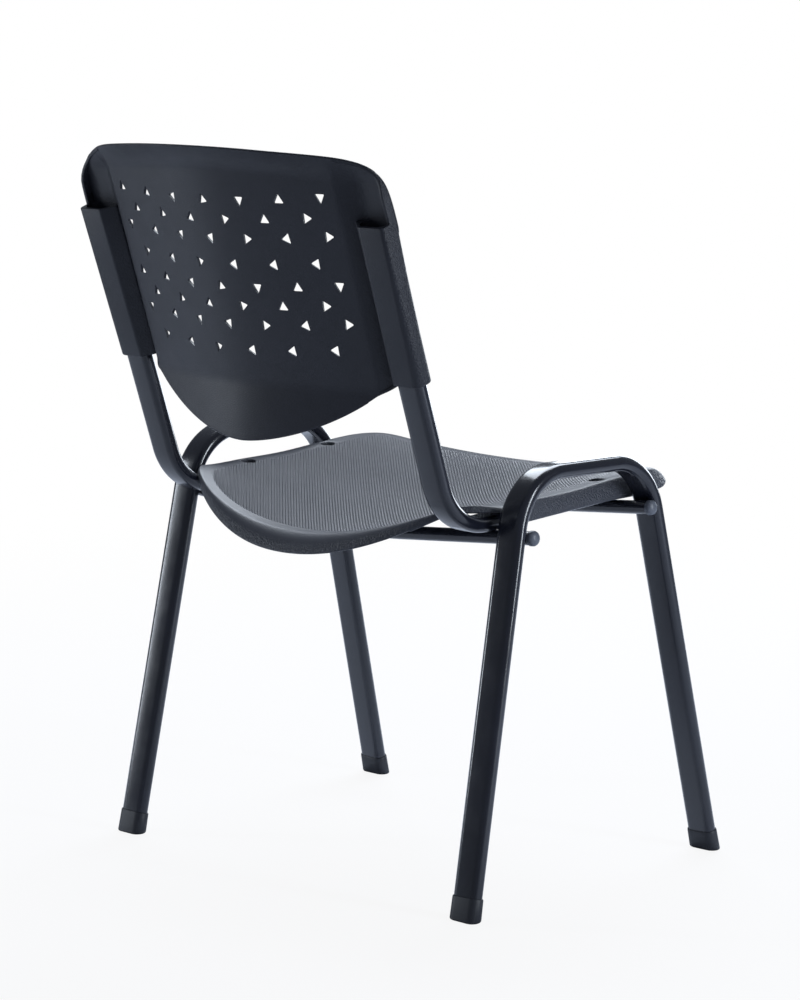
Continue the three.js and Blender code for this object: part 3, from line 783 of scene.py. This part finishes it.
def pocket_block(side):
    """The sleeve that a post slides into; its outer side is rounder towards the bottom."""
    shrink = math.cos(RECLINE)
    low, high = POCKET_BOTTOM_Z, POCKET_TOP_Z
    levels = []
    for z, inset in [(low, 1.2), (low + 0.4, 0.4), (low + 1.3, 0.0), (mix(low, high, 0.33), 0.0),
                     (mix(low, high, 0.66), 0.0), (high - 1.0, 0.0), (high - 0.3, 0.3), (high, 0.9)]:
        up = (z - low) / (high - low)
        inner, outer = POCKET_INNER + inset, POCKET_OUTER - inset
        front, rear = POCKET_FRONT * shrink + inset, POCKET_REAR * shrink - inset
        levels.append((z, filleted([
            (inner, front, 1.5), (outer, front, mix(9.0, 3.0, up**3)), (outer, rear, mix(10.5, 5.0, up)),
            (mix(*POCKET_SHOULDER_X, up), rear, 5.0), (inner, -1.0, 4.0),
        ])))
    return around_post(side, levels)


def post_bore(side):
    half, deep = TUBE_WIDTH / 2 + POST_CLEARANCE, TUBE_DEPTH / 2 + POST_CLEARANCE
    outline = [(POST_X + x, y) for x, y in oval(2 * half, 2 * deep, 10)]
    return around_post(side, [(POCKET_BOTTOM_Z - 40, outline), (POCKET_TOP_Z + 1, outline)])


def side_rim(side):
    """The turned-back rim from the pocket up round the shell's top corner."""
    directions = [(1, mix(0.55, 0.96, i / 9)) for i in range(10)]
    directions += [(1, 0.98), (1, 1), (0.98, 1), (0.96, 1)]
    directions += [(mix(0.94, 0.78, i / 5), 1) for i in range(6)]
    stations = [(back_outline(u, v), v) for u, v in directions]
    last = len(stations) - 1
    rings = []
    for i, ((ring, x, z), v) in enumerate(stations):
        before, after = stations[max(i - 1, 0)][0], stations[min(i + 1, last)][0]
        along = Vector((after[1] - before[1], 0, after[2] - before[2])).normalized()
        out = Vector((along.z, 0, -along.x))
        buried = back_offset(ring, v, x, z, True) - 0.6
        front = buried - 0.5 * BACK_WALL
        turned = max(mix(*RIM_REAR, smooth(*RIM_EASES, z)), buried + 1.6)
        rear = mix(turned, buried, smooth(last - 8, last - 2, i))
        section = [(1.2, front), (1.2, rear - 1.0), (0.9, rear - 0.3), (0.1, rear), (-1.9, rear),
                   (-2.7, rear - 0.3), (-3.0, rear - 1.0), (-3.2, front)]
        rings.append([Vector((x, post_y(z), z)) + out * a + Vector((0, b, 0)) for a, b in section])
    return loft([[Vector((side * p.x, p.y, p.z)) for p in ring] for ring in rings])


def vent_outline(radius, quarter_turns):
    """A triangle with slightly rounded tips."""
    corners = []
    for corner in range(3):
        middle = quarter_turns * math.pi / 2 + corner * 2 * math.pi / 3
        tip = radius - 1.0
        for angle in (middle - 1.0, middle - 0.4, middle + 0.4, middle + 1.0):
            corners.append((tip * math.cos(middle) + 0.75 * math.cos(angle),
                            tip * math.sin(middle) + 0.75 * math.sin(angle)))
    return corners


def vent_hole(x, z, quarter_turns):
    slope = (panel_behind_posts(x + 2, z) - panel_behind_posts(x - 2, z)) / 4
    turn = math.atan(slope)
    right = Vector((-math.cos(turn), -math.sin(turn), 0))  # to the right as seen from behind
    out = Vector((-math.sin(turn), math.cos(turn), 0))
    centre = Vector((x, post_y(z) + panel_behind_posts(x, z), z))
    rings = [ring_at(vent_outline(VENT_RADIUS - VENT_DRAFT * depth, quarter_turns),
                     centre + out * depth, right, UP) for depth in (-12, 0, 12)]
    return loft(rings)


def vent_holes():
    for drop in (0, VENT_REPEAT):
        for row_z, turns in zip(VENT_ROWS, VENT_TURNS):
            for i, turn in enumerate(turns):
                x = ((len(turns) - 1) / 2 - i) * VENT_SPACING[len(turns)]
                yield vent_hole(x, row_z - drop + VENT_RISE * (x / VENT_RISE_AT_X) ** 2, turn)


def back_shell():
    piece = new_piece("back_moulding", *slab(BACK_SPREAD, back_point))
    for solid in (pocket_block, side_rim):
        carve(piece, "UNION", *joined(*(solid(side) for side in SIDES.values())))
    bores = [post_bore(side) for side in SIDES.values()]
    carve(piece, "DIFFERENCE", *joined(*bores, *vent_holes()))
    finish_piece(piece, SHADED_BACK_PLASTIC, "back_shell")


# ---- Camera, light and floor --------------------------------------------------------------------
VIEW_ANGLES = (222.5, 8.496, 0.678)  # azimuth, elevation and roll
VIEW_FROM, VIEW_LENS, VIEW_SHIFT = (-2308.6, 2520.2, 914.1), 110.62, -0.004


def camera():
    azimuth, elevation, roll = (math.radians(angle) for angle in VIEW_ANGLES)
    back = Vector((math.sin(azimuth) * math.cos(elevation), -math.cos(azimuth) * math.cos(elevation),
                   math.sin(elevation)))
    right = Vector((math.cos(azimuth), math.sin(azimuth), 0))
    upward = back.cross(right)
    rolled_right = right * math.cos(roll) + upward * math.sin(roll)
    rolled_up = upward * math.cos(roll) - right * math.sin(roll)
    data = bpy.data.cameras.new("camera")
    data.sensor_fit = "VERTICAL"
    data.sensor_height = 36.0
    data.lens = VIEW_LENS
    data.shift_y = VIEW_SHIFT
    data.clip_end = 50.0
    camera_object = bpy.data.objects.new("camera", data)
    turn = Matrix((rolled_right, rolled_up, back)).transposed().to_4x4()
    camera_object.matrix_world = Matrix.Translation(place(VIEW_FROM)) @ turn
    bpy.context.scene.collection.objects.link(camera_object)
    bpy.context.scene.camera = camera_object


def area_light(name, spot, target, size, power):
    data = bpy.data.lights.new(name, "AREA")
    data.shape = "RECTANGLE"
    data.size, data.size_y = size
    data.energy = power
    data.color = (0.84, 0.91, 1.0)
    light = bpy.data.objects.new(name, data)
    light.location = spot
    light.visible_camera = False
    light.rotation_euler = (Vector(target) - Vector(spot)).to_track_quat("-Z", "Y").to_euler()
    bpy.context.scene.collection.objects.link(light)


def floor_finish():
    """Pale paper under the chair that brightens into the white backdrop further away."""
    s = Shader("pale_floor")
    s.link((0.73, 0.76, 0.84, 1), s.main.inputs["Base Color"])
    s.main.inputs["Roughness"].default_value = 0.8
    s.main.inputs["Specular IOR Level"].default_value = 0.1
    glow = s.node("ShaderNodeEmission", {"Strength": 1.0})
    away = s.node("ShaderNodeVectorMath", {0: s.place}, operation="LENGTH").outputs["Value"]
    seen = s.node("ShaderNodeLightPath", {}).outputs["Is Camera Ray"]
    share = s.maths("MULTIPLY", seen, s.ramp(away, 0.5, 2.5, 0.90, 1.0))
    mixed = s.node("ShaderNodeMixShader", {0: share, 1: s.main.outputs["BSDF"],
                                           2: glow.outputs["Emission"]})
    s.tree.links.new(mixed.outputs["Shader"], s.tree.nodes["Material Output"].inputs["Surface"])
    return s.material


def studio():
    floor_mesh = bpy.data.meshes.new("floor")
    reach = 12.0
    corners = [(a * reach, b * reach, 0) for a, b in ((-1, -1), (1, -1), (1, 1), (-1, 1))]
    floor_mesh.from_pydata(corners, [], [(0, 1, 2, 3)])
    floor = bpy.data.objects.new("floor", floor_mesh)
    bpy.context.scene.collection.objects.link(floor)
    floor_mesh.materials.append(floor_finish())

    world = bpy.data.worlds.new("studio")
    world.use_nodes = True
    bpy.context.scene.world = world
    tree = world.node_tree
    backdrop = tree.nodes["Background"]
    backdrop.inputs["Color"].default_value = (1, 1, 1, 1)
    backdrop.inputs["Strength"].default_value = 1.0
    room = tree.nodes.new("ShaderNodeBackground")
    room.inputs["Color"].default_value = (0.78, 0.86, 1.0, 1)
    room.inputs["Strength"].default_value = 0.2
    seen = tree.nodes.new("ShaderNodeLightPath")
    choose = tree.nodes.new("ShaderNodeMixShader")
    tree.links.new(seen.outputs["Is Camera Ray"], choose.inputs["Fac"])
    tree.links.new(room.outputs["Background"], choose.inputs[1])
    tree.links.new(backdrop.outputs["Background"], choose.inputs[2])
    tree.links.new(choose.outputs["Shader"], tree.nodes["World Output"].inputs["Surface"])

    area_light("overhead", (0.8, -1.2, 2.1), (0, 0, 0.4), (1.7, 1.3), 46)
    area_light("far_window", (0.8, -2.7, 0.66), (0, 0, 0.45), (2.0, 0.6), 20)
    area_light("left_strip", (2.3, 1.5, 0.9), (0, 0, 0.45), (0.3, 1.6), 20)
    area_light("right_strip", (-2.5, -0.5, 1.0), (0, 0, 0.45), (0.35, 1.6), 36)


def chair():
    for word, side in SIDES.items():
        leg_frame(word, side)
        foot_cap(word, "rear", side, LEG_CORNERS[0], LEG_CORNERS[1])
        foot_cap(word, "front", side, LEG_CORNERS[3], LEG_CORNERS[2])
        back_post(word, side)
        arm_plug(word, side)
        for end, (y, z) in BARS.items():
            bar_plug(word, end, side, y, z)
            seat_screw(word, end, side, SCREW_Y[end])
    for end, (y, z) in BARS.items():
        crossbar(end, y, z)
    seat_shell()
    back_shell()


bpy.context.scene.view_settings.view_transform = "Standard"
camera()
studio()
chair()
